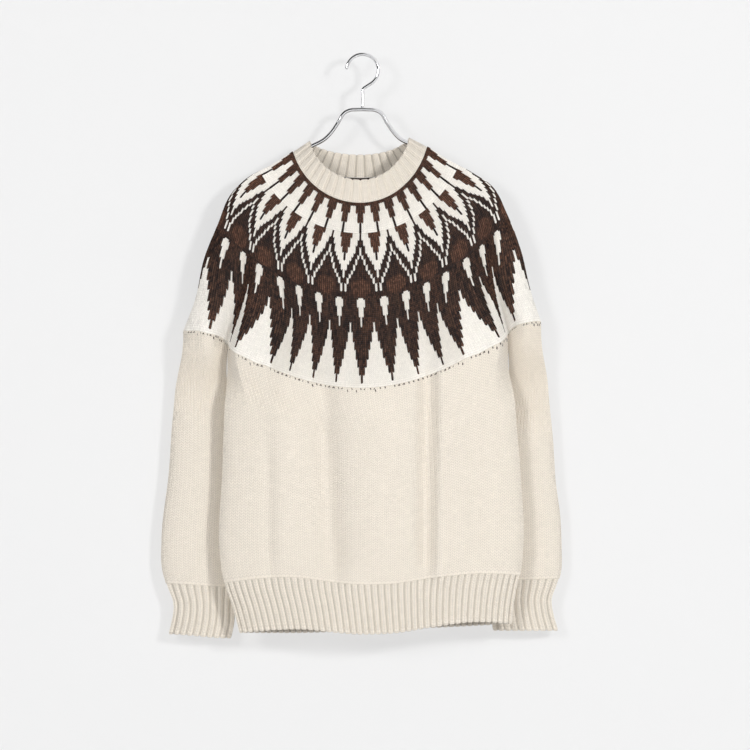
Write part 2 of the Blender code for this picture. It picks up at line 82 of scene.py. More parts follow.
# The hanger's rod and hook, and the places down the shoulder line that its arms pass under
ROD_RADIUS = 2.8
ROD_CLEARANCE = 0.8
HOOK_WIRE = 2.5
HOOK_BEND = 22.5
HOOK_NECK_BEND = 5.0
HOOK_TIP_ANGLE = 172.0
HOOK_TURN_ANGLE = -57.0
HOOK_STEM_X = 0.3
BAR_DOWN = 76.0
ARM_STOPS = (-0.11, -0.05, 0.02, 0.1, 0.18, 0.24, 0.28)
UNDER_COLLAR = 0.1
BAR_SIDES = 20
CAP_ANGLES = (0.35, 0.7, 1.1, 1.5)

# How folds fade at their ends and toward the body's sides
FOLD_FADE = 70.0
FOLD_LEFT_AT_FOOT = 0.3
FOLDLESS_SIDE = (150.0, 190.0)

# How closely a ring is worked out, and how soon body and sleeves leave the yoke's form
QUARTER_POINTS = 181
ARC_POINTS = 241
BODY_BLEND = 0.3
SLEEVE_BLEND = 0.25
SLEEVE_SIDE_ANGLE = 176.0


def table(names, *rows):
    """A table with named columns; its first column is where a row lies."""
    return dict(zip(names, np.array(rows, float).T))


# The shoulder line, where the front of the yoke turns over to the back
SHOULDER = table(
    ("v", "left_x", "left_down", "right_x", "right_down"),
    (-0.125, -76, 121, 67, 116),
    (0.00, -99, 136, 92, 129),
    (0.10, -127, 154, 118, 146),
    (0.24, -165, 175, 157, 167),
    (0.35, -188, 199, 185, 187),
    (0.48, -204, 237, 204, 223),
    (0.67, -225, 290, 225, 279),
    (0.85, -237, 346, 238, 335),
    (1.00, -254, 390, 253, 380),
)

# The rings of the collar and yoke: depths at the shoulder line and at both middles
RINGS = table(
    ("v", "edge_y", "front_y", "front_down", "back_y", "back_down", "bend"),
    (-0.125, 0, -42, 178, 38, 140, 1.0),
    (0.00, 0, -48, 210, 42, 172, 1.0),
    (0.41, 1, -54, 316, 45, 282, 1.45),
    (0.70, 5, -56, 392, 45, 360, 1.85),
    (1.00, 9, -56, 471, 42, 440, 2.2),
)

# The folds between body and sleeve in the lower yoke
CREASES = table(
    ("v", "left_x", "right_x", "share"),
    (0.45, -160, 178, 0.0),
    (0.60, -165, 184, 0.12),
    (0.80, -177, 193, 0.55),
    (1.00, -192, 207, 1.0),
)

# The body tube: its side edges, and its depth at the sides and both middles
BODY = table(
    ("down", "left_x", "right_x", "edge_y", "front_y", "back_y"),
    (415, -192, 207, 8, -55, 41),
    (440, -191, 206, -8, -55, 38),
    (465, -193, 212, -18, -54, 34),
    (528, -196, 218, -18, -53, 32),
    (588, -198, 223, -18, -53, 32),
    (700, -202, 227, -18, -50, 31),
    (730, -199, 224, -18, -48, 30),
    (752, -194, 219, -17, -45, 28),
    (782, -184, 214, -16, -42, 26),
    (820, -174, 211, -16, -40, 25),
)

# The sleeves and cuffs: outer and inner edge of each, middle and half depth
SLEEVES = {
    "left": table(
        ("down", "outer_x", "inner_x", "middle_y", "half_depth"),
        (395, -256, -192, 11, 11), (415, -259, -194, 15, 11), (440, -263, -196, 24, 12),
        (485, -267, -188, 27, 13), (528, -271, -180, 28, 15), (588, -275, -174, 28, 16),
        (689, -286, -172, 28, 16), (730, -285, -174, 28, 15), (755, -278, -178, 28, 13),
        (778, -270, -181, 27, 12), (806, -273, -182, 27, 12), (826, -278, -186, 27, 13),
    ),
    "right": table(
        ("down", "outer_x", "inner_x", "middle_y", "half_depth"),
        (385, 254, 207, 11, 11), (410, 257, 208, 15, 11), (440, 261, 210, 24, 12),
        (488, 265, 199, 27, 13), (548, 271, 184, 29, 15), (608, 275, 176, 29, 16),
        (652, 281, 173, 29, 16), (696, 283, 172, 29, 16), (735, 282, 175, 29, 15),
        (752, 277, 178, 28, 13), (772, 270, 181, 28, 12), (791, 272, 182, 28, 12),
        (816, 279, 185, 28, 13),
    ),
}

# Lower edges of body and hem across the front (-1 at the left side, 1 at the right) and back
FRONT_EDGES = table(
    ("across", "rib_top", "hem_edge"),
    (-1.0, 748, 817),
    (-0.55, 739, 811),
    (-0.1, 749, 818),
    (0.15, 748, 816),
    (0.4, 740, 808),
    (0.7, 734, 801),
    (1.0, 737, 804),
)
BACK_EDGES = table(
    ("across", "rib_top", "hem_edge"),
    (-1.0, 748, 817),
    (-0.5, 750, 818),
    (0.0, 745, 814),
    (0.5, 742, 810),
    (1.0, 737, 804),
)

# Cuff edges at the outer and inner side
CUFFS = {
    "left": {"rib_top": (750, 755), "cuff_edge": (820, 826)},
    "right": {"rib_top": (743, 746), "cuff_edge": (815, 815)},
}

# Soft upright folds: where they lie at their top and foot, how deep and wide, from where to where
FRONT_FOLDS = table(
    ("top_x", "foot_x", "depth", "width", "top", "foot"),
    (-64, -42, 11, 26, 340, 745),
    (94, 91, 10, 18, 350, 745),
    (-115, -114, -3, 16, 370, 730),
    (114, 140, -3, 16, 400, 730),
    (20, 22, -4, 26, 400, 730),
    # Finer creases, in the scene alone
    (-62, -40, 6, 16, 420, 770),
    (90, 88, 5, 10, 380, 760),
    (112, 107, -3, 7, 380, 760),
    (-134, -130, 2.5, 9, 520, 760),
    (166, 165, 3.5, 14, 480, 720),
)
BACK_FOLDS = table(
    ("top_x", "foot_x", "depth", "width", "top", "foot"),
    (30, 44, 8, 24, 320, 735),
    (-78, -92, 6, 20, 350, 745),
    (118, 126, 4, 18, 390, 690),
    (-22, -24, -4, 22, 400, 700),
    # Finer creases, in the scene alone
    (33, 47, 3.5, 9, 410, 765),
    (-84, -90, 3, 8, 430, 750),
    (88, 92, -2, 10, 420, 700),
    (-140, -136, 2.5, 10, 520, 740),
)

# The hanger's bar and neck, from the middle out to the collar
HANGER_NECK = table(
    ("x", "below_bar"), (7, 0.0), (18, 0.8), (25, 4.0), (35, 19.0), (44, 32.0), (54, 42.0)
)

# Colours of the yarns, linear, and the painted shade of a picked-up hole
CREAM = np.array((0.850, 0.780, 0.680))
WHITE = np.array((0.940, 0.905, 0.845))
ESPRESSO = np.array((0.022, 0.012, 0.010))
BROWN = np.array((0.088, 0.046, 0.030))
RUST = np.array((0.135, 0.062, 0.038))
HOLE_SHADE = np.array((0.11, 0.088, 0.072))
INSIDE_BROWN = np.array((0.050, 0.030, 0.022))

# The studio, in metres: its lights, the way to its dark corner, its floor and wall
WORLD_LIGHT = 0.32
LIGHTS = (
    {"name": "key", "place": (1.9, -3.6, 0.5), "size": 0.6, "power": 77},
    {"name": "front", "place": (-1.9, -4.0, 0.5), "size": 1.0, "power": 60},
    {"name": "back", "place": (-1.6, 2.6, 0.9), "size": 0.9, "power": 50},
)
LIGHT_TARGET = (0.0, 0.0, -0.45)
DARK_CORNER = (-0.75, -0.50, 0.43)
FLOOR_Z = -1.35
FLOOR_PAINT = (0.84, 0.84, 0.85, 1)
WALL_Y = 0.055
WALL_PAINT = (0.30, 0.30, 0.30, 1)
STAGE_SIZE = 12

# The photo: its width, and where the hook's underside is in it
PHOTO_PIXELS = 750
MM_PER_PIXEL = 1.42
HOOK_PIXEL_X, HOOK_PIXEL_Y = 362.5, 56

# A stitch: points across and down it, how square its legs are, how far they keep their height
# between rows, how deep the hollow beside them is, their slope in rows, and how high and uneven
# they stand. Faces that show no stitch have a place in one that no painted gap shade reaches.
ACROSS_STITCH = 4
DOWN_STITCH = 2
LEG_POWER, LEG_END, STITCH_HOLLOW = 0.8, 0.6, 0.35
STITCH_SLOPE, STITCH_RELIEF, STITCH_UNEVEN = 0.8, 1.0, 0.06
NO_STITCH = (0.25, 0.5)

# How much the yarn's tone varies in plain knit and in ribs, and the plain knit's inside
TONE_UNEVEN, RIB_TONE_UNEVEN, INSIDE_TONE = 0.012, 0.02, 0.93

# How often the first rows, picked up from the piece above, show a hole, a wide or a lower one
HOLE_CHANCE, WIDE_HOLE_CHANCE, LOW_HOLE_CHANCE = 0.7, 0.6, 0.5

# The ribs: wales in each, the groove's share of it, how deep the groove lies and the rib curves,
# how much of that the inside has, and the rounded lip at the free edge; then the inside's
# painted light and the painted shade beside each groove
COLLAR_STYLE = {
    "wales": 2, "groove": 0.22, "relief": 0.8, "depth": 1.2, "round": 1.0, "inside_depth": 1.0,
    "lip": 1.6, "lip_at": "top", "inside_painted_light": 1.22, "groove_shade": 0.92,
}
EDGE_STYLE = {
    "wales": 1, "groove": 0.24, "relief": 1.0, "depth": 2.2, "round": 0.7, "inside_depth": 0.5,
    "lip": 2.2, "lip_at": "foot", "inside_painted_light": 1.0, "groove_shade": 0.84,
}
RIB_EDGE_DEPTH = 0.3
LIP_TURNS = (0.2, 0.4, 0.6, 0.8)

# The yoke's knitting: stitches round in its three zones, and the rows where they start and end
YOKE_ROWS = 96
YOKE_SLOPE, YOKE_RELIEF, YOKE_UNEVEN = 0.75, 0.75, 0.1
YOKE_SEED = 31
ZONE_STEP = 0.3
NECK_ZONE = {"stitches": 240, "repeat": 8, "first": 0, "last": 16}
PEAK_ZONE = {"stitches": 320, "repeat": 16, "first": 16, "last": 49}
DART_ZONE = {"stitches": 448, "repeat": 14, "first": 49, "last": 96}

# The painted shade across a stitch of light and dark yarn, darker at its edge than its middle, and
# how its tone varies at random
LIGHT_YARN = 0.4
LIGHT_LEG_SHADE_AND_TONE = {"edge": 0.98, "rise": 0.03, "uneven": 0.02}
DARK_LEG_SHADE_AND_TONE = {"edge": 0.55, "rise": 0.70, "uneven": 0.20}

# Where the lower darts hang, counted from the middle of the front: the folds gather them
DARTS_ROUND = 32
HANG_TOP, HANG_FADE = 0.40, 0.35
HANG = table(
    ("dart", "place"),
    (-16, -16.0), (-9, -9.2), (-8, -8.35), (-7, -6.83), (-6, -5.65), (-5, -4.84), (-4, -3.33),
    (-3, -2.60), (-2, -1.72), (-1, -0.88), (0, 0.05), (1, 1.08), (2, 1.96), (3, 2.84),
    (4, 3.59), (5, 4.97), (6, 5.62), (7, 6.44), (8, 8.3), (9, 9.2), (16, 16.0),
)

# Charts of the zones: from a row on, how many stitches wide each motif is
NECK_DARTS = table(("row", "dart"), (0, 8), (2, 5), (6, 3), (11, 1), (16, 0))
PEAKS = table(
    ("row", "peak", "heart"),
    (16, 1, 7), (19, 1, 5), (20, 3, 5), (23, 5, 5), (24, 5, 3), (27, 7, 1), (29, 9, 1),
    (31, 11, 0), (33, 13, 0), (36, 15, 0), (40, 16, 0),
)
ZIGZAG = table(("row", "step"), (24, 0), (28, 1), (30, 2), (33, 3), (36, 4), (38, 5), (40, 6), (43, 7))
ZIGZAG_END = 47
HEART_LINE = 26
ALL_BROWN = 40
NECK_RUST_END = 11
RUST_PATCH = {"row": 44.3, "half_width": 4.6, "half_height": 4.4}
DARTS = table(
    ("row", "dart", "drop"),
    (49, 14, 0), (50, 14, 3), (51, 14, 5), (55, 14, 3), (60, 14, 1), (63, 13, 1), (65, 13, 0),
    (68, 11, 0), (73, 9, 0), (77, 7, 0), (82, 5, 0), (86, 3, 0), (90, 1, 0), (94, 0, 0),
)


def read(chart, name, at):
    """A column's value at a place between the rows, on a smooth curve through them."""
    keys = next(iter(chart.values()))
    values = chart[name]
    slopes = np.gradient(values, keys)
    at = np.clip(at, keys[0], keys[-1])
    row = np.clip(np.searchsorted(keys, at) - 1, 0, len(keys) - 2)
    gap = keys[row + 1] - keys[row]
    t = (at - keys[row]) / gap
    start = (1 + 2 * t) * (1 - t) ** 2 * values[row] + t * (1 - t) ** 2 * gap * slopes[row]
    end = t * t * (3 - 2 * t) * values[row + 1] + t * t * (t - 1) * gap * slopes[row + 1]
    return start + end


def step_of(chart, name, row):
    """A chart's value that holds from its row on, until the next."""
    keys = next(iter(chart.values()))
    return chart[name][np.clip(np.searchsorted(keys, row, side="right") - 1, 0, len(keys) - 1)]


def ease(t):
    t = np.clip(t, 0, 1)
    return t * t * (3 - 2 * t)


def fade_out(at, start, end):
    """1 up to a place, falling softly to 0 at another."""
    return 1 - ease((at - start) / (end - start))


def fold_depth(folds, x, down):
    """How far soft folds push the cloth in at a place on the front or back."""
    total = 0.0
    for top_x, foot_x, depth, width, top, foot in zip(*folds.values()):
        middle = top_x + (foot_x - top_x) * np.clip((down - top) / (foot - top), 0, 1)
        shape = np.exp(-(((x - middle) / width) ** 2))
        start = ease((down - top) / FOLD_FADE)
        end = ease((foot - down) / FOLD_FADE + FOLD_LEFT_AT_FOOT)
        total = total + depth * shape * start * end
    return total * fade_out(np.abs(x), *FOLDLESS_SIDE)


def pressed_in(front, x, down):
    """How far the folds move the cloth in y."""
    return np.where(front, fold_depth(FRONT_FOLDS, x, down), -fold_depth(BACK_FOLDS, x, down))


def how_far_down(top, rib_top, edge, w):
    """From the yoke to the rib while w is up to 1, then on to the edge."""
    if w <= 1:
        return -top[..., 2] + (rib_top + top[..., 2]) * w
    return rib_top + (edge - rib_top) * (w - 1)


def hung_from_yoke(top, tube, down, along):
    """A ring that hangs straight down from the yoke at first and joins the tube further on."""
    hung = top.copy()
    hung[..., 2] = -down
    share = ease(along)
    return hung * (1 - share) + tube * share


def lengths_along(points):
    steps = np.linalg.norm(np.diff(points, axis=0), axis=1)
    return np.concatenate([[0], np.cumsum(steps)])


def shares_of_length(points):
    length = lengths_along(points)
    return length / length[-1]


def yoke_quarter(v, side, half):
    """A ring of the yoke from the middle of the front or back to a shoulder, as close points."""
    edge_x = read(SHOULDER, side + "_x", v)
    edge_down = read(SHOULDER, side + "_down", v)
    angle = np.linspace(0, pi / 2, QUARTER_POINTS)
    forward = np.cos(angle)
    x = MIDDLE_X + (edge_x - MIDDLE_X) * np.sin(angle)
    edge_y = read(RINGS, "edge_y", v)
    y = edge_y + (read(RINGS, half + "_y", v) - edge_y) * forward
    drop = np.sqrt(forward**2 + RIDGE_ROUND**2) - RIDGE_ROUND
    drop = (drop / drop[0]) ** read(RINGS, "bend", v)
    middle_down = read(RINGS, half + "_down", v)

    share = read(CREASES, "share", v)
    away = (x - read(CREASES, side + "_x", v)) * (-1 if side == "left" else 1)
    both_down = (read(RINGS, "front_down", v) + read(RINGS, "back_down", v)) / 2
    meeting = share * np.exp(-((away / CREASE_MEETING) ** 2))
    middle_down = middle_down + (both_down - middle_down) * meeting
    down = edge_down + (middle_down - edge_down) * drop
    bottom_y = FRONT_CREASE_Y if half == "front" else BACK_CREASE_Y
    width = np.where(away < 0, CREASE_WIDTH["body"], CREASE_WIDTH["sleeve"])
    y = y + (bottom_y - np.interp(0, away, y)) * share * np.exp(-((away / width) ** 2))
    step = np.tanh(away / CREASE_STEP_WIDTH) * np.exp(-np.abs(away) / CREASE_STEP_REACH)
    down = down - CREASE_STEP * share * step * fade_out(np.abs(away), *CREASE_STEP_END)
    return np.stack([x, y, -down], axis=1), share


def yoke(u, v):
    """Points of collar and yoke at places u round the ring v."""
    u = (np.asarray(u, float) + 0.5) % 1.0 - 0.5
    points = np.zeros(u.shape + (3,))
    for side, way in (("left", -1), ("right", 1)):
        for half in ("front", "back"):
            share = np.abs(u) / 0.25 if half == "front" else (0.5 - np.abs(u)) / 0.25
            here = (u * way >= 0) & (share <= 1)
            if not here.any():
                continue
            line, crease_share = yoke_quarter(v, side, half)
            places = shares_of_length(line)
            knot = CREASE_U / 0.25
            crease_place = np.interp(read(CREASES, side + "_x", v) * way, line[:, 0] * way, places)
            moved = knot + (crease_place - knot) * crease_share
            place = np.interp(share[here], [0, knot, 1], [0, moved, 1])
            for axis in range(3):
                points[here, axis] = np.interp(place, places, line[:, axis])
    points[..., 1] += pressed_in(np.abs(u) <= 0.25, points[..., 0], -points[..., 2])
    return points


def even_angles(across, deep, start, stop, shares):
    """Angles that part an ellipse's arc evenly along its length."""
    angle = np.linspace(start, stop, ARC_POINTS)
    line = np.stack([across * np.cos(angle), deep * np.sin(angle)], axis=1)
    return np.interp(shares, shares_of_length(line), angle)


def body(c, w):
    """Points of the body (w from 0 to 1) and hem (1 to 2).

    c goes round: -1 to 1 across the front from side to side, 1 to 3 across the back.
    """
    c = (np.asarray(c, float) + 1.0) % 4.0 - 1.0
    front = c <= 1
    across = np.where(front, c, 2 - c)
    u = np.where(front, across * CREASE_U, 0.5 - across * CREASE_U)
    top = yoke(u, 1.0)
    rib_top, hem_edge = (
        np.where(front, read(FRONT_EDGES, name, across), read(BACK_EDGES, name, across))
        for name in ("rib_top", "hem_edge")
    )
    down = how_far_down(top, rib_top, hem_edge, w)
    middle_down = float(np.mean(down))
    half_width = (read(BODY, "right_x", middle_down) - read(BODY, "left_x", middle_down)) / 2
    deep = (read(BODY, "back_y", middle_down) - read(BODY, "front_y", middle_down)) / 2
    angle = even_angles(half_width, deep, pi, 0, (across + 1) / 2)
    left, right = read(BODY, "left_x", down), read(BODY, "right_x", down)
    x = (left + right) / 2 + (right - left) / 2 * np.cos(angle)
    edge_y = read(BODY, "edge_y", down)
    reach = np.where(front, read(BODY, "front_y", down), read(BODY, "back_y", down)) - edge_y
    y = edge_y + reach * np.abs(np.sin(angle))
    tube = np.stack([x, y + pressed_in(front, x, down), -down], axis=-1)
    return hung_from_yoke(top, tube, down, w / BODY_BLEND)


def sleeve(c, w, side):
    """Points of a sleeve (w from 0 to 1) and cuff (1 to 2).

    c goes round from the front crease (-1) over the outer edge (0) to the back crease (1).
    """
    c = np.asarray(c, float)
    way = -1 if side == "left" else 1
    chart = SLEEVES[side]
    crease = CREASE_U + CREASE_SEAM_U
    top = yoke(way * (0.25 + c * (0.25 - crease)), 1.0)
    inward = (1 - np.cos(c * pi)) / 2
    rib_top, cuff_edge = (outer + (inner - outer) * inward for outer, inner in CUFFS[side].values())
    down = how_far_down(top, rib_top, cuff_edge, w)
    middle_down = float(np.mean(down))
    half_width = abs(read(chart, "outer_x", middle_down) - read(chart, "inner_x", middle_down)) / 2
    deep = read(chart, "half_depth", middle_down)
    angle = np.sign(c) * even_angles(half_width, deep, 0, radians(SLEEVE_SIDE_ANGLE), np.abs(c))
    outer, inner = read(chart, "outer_x", down), read(chart, "inner_x", down)
    x = (outer + inner) / 2 + (outer - inner) / 2 * np.cos(angle)
    y = read(chart, "middle_y", down) + read(chart, "half_depth", down) * np.sin(angle)
    tube = np.stack([x, y, -down], axis=-1)
    return hung_from_yoke(top, tube, down, w / SLEEVE_BLEND)


def between(grid, upper, left, t, s):
    """A grid's values between its rows and columns."""
    high = grid[upper, left] * (1 - s) + grid[upper, left + 1] * s
    low = grid[upper + 1, left] * (1 - s) + grid[upper + 1, left + 1] * s
    return high * (1 - t) + low * t


class Cloth:
    """A surface sampled closely, which gives points and outward normals anywhere on it."""

    def __init__(self, shape, across, downward, way=1):
        self.across, self.downward = across, downward
        self.points = np.array([shape(across, w) for w in downward])
        along = np.gradient(self.points, axis=1)
        fall = np.gradient(self.points, axis=0)
        normals = np.cross(fall, along) * way
        self.normals = normals / np.maximum(np.linalg.norm(normals, axis=-1, keepdims=True), 1e-9)

    def at(self, c, w):
        """Points and normals at places (c, w), between the samples."""
        column = (c - self.across[0]) / (self.across[1] - self.across[0])
        column = np.clip(column, 0, len(self.across) - 1.0001)
        row = np.interp(w, self.downward, np.arange(len(self.downward)))
        row = np.clip(row, 0, len(self.downward) - 1.0001)
        left, upper = column.astype(int), row.astype(int)
        s, t = (column - left)[..., None], (row - upper)[..., None]
        return [between(grid, upper, left, t, s) for grid in (self.points, self.normals)]


def wave_of(seed, across, down, step_across, step_down):
    """A smooth uneven field from -1 to 1, with hills about a step wide."""
    rng = np.random.default_rng(seed)
    x, y = across / step_across, down / step_down
    lattice = rng.uniform(-1, 1, (int(np.max(y)) + 3, int(np.max(x)) + 3))
    left, upper = np.floor(x).astype(int), np.floor(y).astype(int)
    return between(lattice, upper, left, ease(y - upper), ease(x - left))


class Builder:
    """Gathers rings of points into one mesh, with a colour for each face: its yarn's, with the painted
    shade and painted light that some pieces add.
    """

    def __init__(self):
        self.points, self.count = [], 0
        self.quads, self.quad_tints, self.quad_knit = [], [], []
        self.triangles, self.triangle_tints = [], []

    def rings(self, points):
        """Adds rows of points; gives their numbers."""
        shape = points.shape[:-1]
        numbers = self.count + np.arange(int(np.prod(shape))).reshape(shape)
        self.points.append(points.reshape(-1, 3))
        self.count += numbers.size
        return numbers

    def join(self, numbers, tints, way=1, knit=None):
        """Faces between rows that have the same columns, closed round.

        knit holds the rows' and columns' places in stitches, where they show stitches.
        """
        a, c = numbers[:-1], numbers[1:]
        b, d = np.roll(a, -1, axis=1), np.roll(c, -1, axis=1)
        order = (a, c, d, b) if way > 0 else (a, b, d, c)
        self.quads.append(np.stack(order, axis=-1).reshape(-1, 4))
        self.quad_tints.append(np.broadcast_to(tints, a.shape + (3,)).reshape(-1, 3))
        places = np.tile(NO_STITCH, a.shape + (4, 1))
        if knit is not None:
            rows, columns, wide = knit
            places[..., [0, 3], 1] = rows[:-1, None, None]
            places[..., [1, 2], 1] = rows[1:, None, None]
            places[..., [0, 1], 0] = columns[None, :, None]
            places[..., [2, 3], 0] = columns[None, :, None] + wide[None, :, None]
        self.quad_knit.append(places.reshape(-1, 2))

    def zip(self, upper, upper_places, lower, lower_places, tint, way=1):
        """Triangles between two rings that have different columns, closed round.

        The places are from 0 to 1 and rise along each ring.
        """
        places = np.concatenate([upper_places, lower_places])
        on_upper = np.argsort(places, kind="stable") < len(upper)
        upper_at = np.cumsum(on_upper) - 1
        lower_at = np.cumsum(~on_upper) - 1
        upper_next = upper[(upper_at + 1) % len(upper)]
        lower_next = lower[(lower_at + 1) % len(lower)]
        here_upper, here_lower = upper[upper_at % len(upper)], lower[lower_at % len(lower)]
        third = np.where(np.roll(on_upper, -1), upper_next, lower_next)
        faces = np.stack([here_upper, here_lower, third], axis=-1)
        if way < 0:
            faces = faces[:, ::-1]
        self.triangles.append(faces)
        self.triangle_tints.append(np.broadcast_to(tint, (len(faces), 3)))

    def make(self, name, material):
        points = np.concatenate(self.points) * MM
        quads = np.concatenate(self.quads)
        triangles = np.concatenate(self.triangles) if self.triangles else np.zeros((0, 3), int)
        corners_of = np.repeat([4, 3], [len(quads), len(triangles)])
        tints = np.repeat(np.concatenate(self.quad_tints + self.triangle_tints), corners_of, axis=0)
        mesh = bpy.data.meshes.new(name)
        mesh.vertices.add(len(points))
        mesh.vertices.foreach_set("co", points.astype(np.float32).ravel())
        corners = np.concatenate([quads.ravel(), triangles.ravel()])
        mesh.loops.add(len(corners))
        mesh.loops.foreach_set("vertex_index", corners.astype(np.int32))
        starts = np.cumsum(corners_of) - corners_of
        mesh.polygons.add(len(starts))
        mesh.polygons.foreach_set("loop_start", starts.astype(np.int32))
        mesh.update(calc_edges=True)
        colours = mesh.color_attributes.new("yarn_and_painted_shade", "FLOAT_COLOR", "CORNER")
        opaque = np.ones((len(tints), 1))
        colours.data.foreach_set("color", np.hstack([tints, opaque]).astype(np.float32).ravel())
        knit = np.concatenate(self.quad_knit + [np.tile(NO_STITCH, (len(triangles) * 3, 1))])
        layer = mesh.uv_layers.new(name="knit")
        layer.data.foreach_set("uv", knit.astype(np.float32).ravel())
        mesh.shade_smooth()
        mesh.set_sharp_from_angle(angle=radians(SHARP_ANGLE))
        mesh.materials.append(material)
        piece = bpy.data.objects.new(name, mesh)
        bpy.context.collection.objects.link(piece)
        return piece


def stitch_profile(p, t, relief):
    """Height of a stitch: its two legs are ridges, highest halfway down each row."""
    legs = np.sin(pi * np.clip(p, 0, 1)) ** LEG_POWER
    risen = legs * (LEG_END + (1 - LEG_END) * np.sin(pi * t))
    return relief * (risen - STITCH_HOLLOW * (1 - legs) * (p > 0.5))


def stocking(places, rows, relief, seed):
    """Plain knitting: rows of points over wales, with each stitch a V.

    places is how far across its own stitch each column lies, from 0 to 1. It gives each point's
    row, shifted along the stitch's legs, and its height.
    """
    p = np.abs(places - 0.5) * 2
    row = np.arange(rows * DOWN_STITCH + 1) / DOWN_STITCH
    edge = np.minimum(1, np.minimum(row, rows - row))
    shifted = row[:, None] - STITCH_SLOPE * p[None, :] * edge[:, None]
    height = stitch_profile(p[None, :], (row % 1)[:, None], relief)
    rng = np.random.default_rng(seed)
    height = height + rng.normal(0, relief * STITCH_UNEVEN, height.shape)
    return shifted, height


def lining(builder, cloth, places, first, last, rows, tint):
    """Adds the smooth inside of a knitted piece; gives its rings."""
    points, normals = cloth.at(*np.meshgrid(places, np.linspace(first, last, rows)))
    inner = builder.rings(points - normals * KNIT_WALL)
    builder.join(inner, tint, way=-1)
    return inner


def picked_up_holes(shape, wales, rng):
    """Which faces of the first rows are small holes, where the stitches were picked up."""
    holes = np.zeros(shape, bool)
    left, right = slice(0, None, ACROSS_STITCH), slice(ACROSS_STITCH - 1, None, ACROSS_STITCH)
    holes[1:3, left] = rng.random(wales) < HOLE_CHANCE
    holes[2, right] = holes[1, left] & (rng.random(wales) < WIDE_HOLE_CHANCE)
    holes[3:5, left] = ~holes[1, left] & (rng.random(wales) < LOW_HOLE_CHANCE)
    return holes


def tube_piece(name, cloth, around, wales, rows, material, seed):
    """A plain knitted tube with a smooth inside, between two places round the cloth."""
    start, stop = around
    count = wales * ACROSS_STITCH
    columns = np.arange(count)
    share = columns / count
    across = start + (stop - start) * share
    in_stitch = (columns % ACROSS_STITCH) / ACROSS_STITCH
    shifted, height = stocking(in_stitch, rows, STITCH_RELIEF, seed)
    down = shifted / rows
    points, normals = cloth.at(np.broadcast_to(across, down.shape), down)
    builder = Builder()
    outer = builder.rings(points + normals * height[..., None])
    rng = np.random.default_rng(seed + 1)
    tone = rng.normal(1, TONE_UNEVEN, (rows, wales))
    tone = np.repeat(np.repeat(tone, DOWN_STITCH, axis=0), ACROSS_STITCH, axis=1)
    tints = CREAM * tone[..., None]
    holes = picked_up_holes(tone.shape, wales, rng)
    # Picked-up holes are painted dark: painted shade in the hole
    tints = np.where(holes[..., None], HOLE_SHADE, tints)
    row_places = np.arange(rows * DOWN_STITCH + 1) / DOWN_STITCH
    wide = np.full(count, 1 / ACROSS_STITCH)
    builder.join(outer, tints, knit=(row_places, columns / ACROSS_STITCH, wide))

    inner_columns, inner_rows = 160, 16
    inner_share = np.arange(inner_columns) / inner_columns
    inner_across = start + (stop - start) * inner_share
    inner = lining(builder, cloth, inner_across, 0.0, 1.0, inner_rows, CREAM * INSIDE_TONE)
    builder.zip(outer[0], share, inner[0], inner_share, CREAM, way=-1)
    builder.zip(outer[-1], share, inner[-1], inner_share, CREAM)
    return builder.make(name, material)


def rib_columns(ribs, wales, groove):
    """Columns of ribs: some wales side by side, then a groove.

    It gives each column's place round in ribs, its place across its stitch, how deep it lies
    in the groove, and how far it has curved down from its rib's middle.
    """
    places, across, deep, curve = [0.0], [0.0], [1.0], [1.0]
    width = (1 - groove) / wales
    last = wales * ACROSS_STITCH
    for column in range(last + 1):
        places.append(groove / 2 + column / ACROSS_STITCH * width)
        across.append((column % ACROSS_STITCH) / ACROSS_STITCH)
        deep.append(RIB_EDGE_DEPTH if column in (0, last) else 0.0)
        curve.append((2 * column / last - 1) ** 2)
    whole = (np.arange(ribs)[:, None] + np.array(places)[None, :]).ravel()
    return whole, np.tile(across, ribs), np.tile(deep, ribs), np.tile(curve, ribs)


def rib_piece(name, cloth, places, ribs, rows, downward, wall, material, style, seed):
    """A ribbed tube, ribbed inside too, with a rounded lower lip or upper fold.

    places is a function that tells where a rib's number lies round the cloth.
    """
    first, last = downward
    share, across, deep, curve = rib_columns(ribs, style["wales"], style["groove"])
    shifted, height = stocking(across, rows, style["relief"], seed)
    sunk = (deep * style["depth"] + curve * style["round"])[None, :]
    height = height - sunk
    down = first + (last - first) * shifted / rows
    points, normals = cloth.at(np.broadcast_to(places(share), down.shape), down)
    side = points + normals * height[..., None]
    back_height = stocking(across, rows, style["relief"], seed + 5)[1] - sunk * style["inside_depth"]
    back = points - normals * (wall + back_height[..., None])

    at_foot = style["lip_at"] == "foot"
    edge, other, way = (side[-1], back[-1], -1) if at_foot else (side[0], back[0], 1)
    spread = (1 - deep) * style["lip"]
    lips = []
    for turn in LIP_TURNS:
        lip = edge + (other - edge) * (1 - cos(pi * turn)) / 2
        lip[:, 2] += way * spread * sin(pi * turn)
        lips.append(lip)
    loop = [side, lips, back[::-1]] if at_foot else [back[::-1], lips[::-1], side]
    loop = np.concatenate(loop)
    builder = Builder()
    numbers = builder.rings(loop)

    rng = np.random.default_rng(seed + 1)
    tone = rng.normal(1, RIB_TONE_UNEVEN, (len(loop) - 1, ribs))
    tone = np.repeat(tone, len(share) // ribs, axis=1)
    in_groove = deep > RIB_EDGE_DEPTH
    beside_groove = in_groove | np.roll(in_groove, -1)
    # Painted shade on the wales beside each groove
    shade = np.where(beside_groove, style["groove_shade"], 1.0)
    tints = CREAM * (tone * shade[None, :])[..., None]
    inside = slice(-len(back), None) if at_foot else slice(0, len(back))
    # The inside is painted brighter where the style says so: painted light, for the collar
    tints[inside] *= style["inside_painted_light"]
    wide = np.where(beside_groove, 0.0, 1 / ACROSS_STITCH)
    builder.join(numbers, tints, knit=(np.arange(len(loop)) / DOWN_STITCH, across, wide))
    builder.join(numbers[[-1, 0]], CREAM)
    return builder.make(name, material)


def blend(first, second, share):
    """A colour between two; the share may differ from stitch to stitch."""
    return first * (1 - share) + second * share


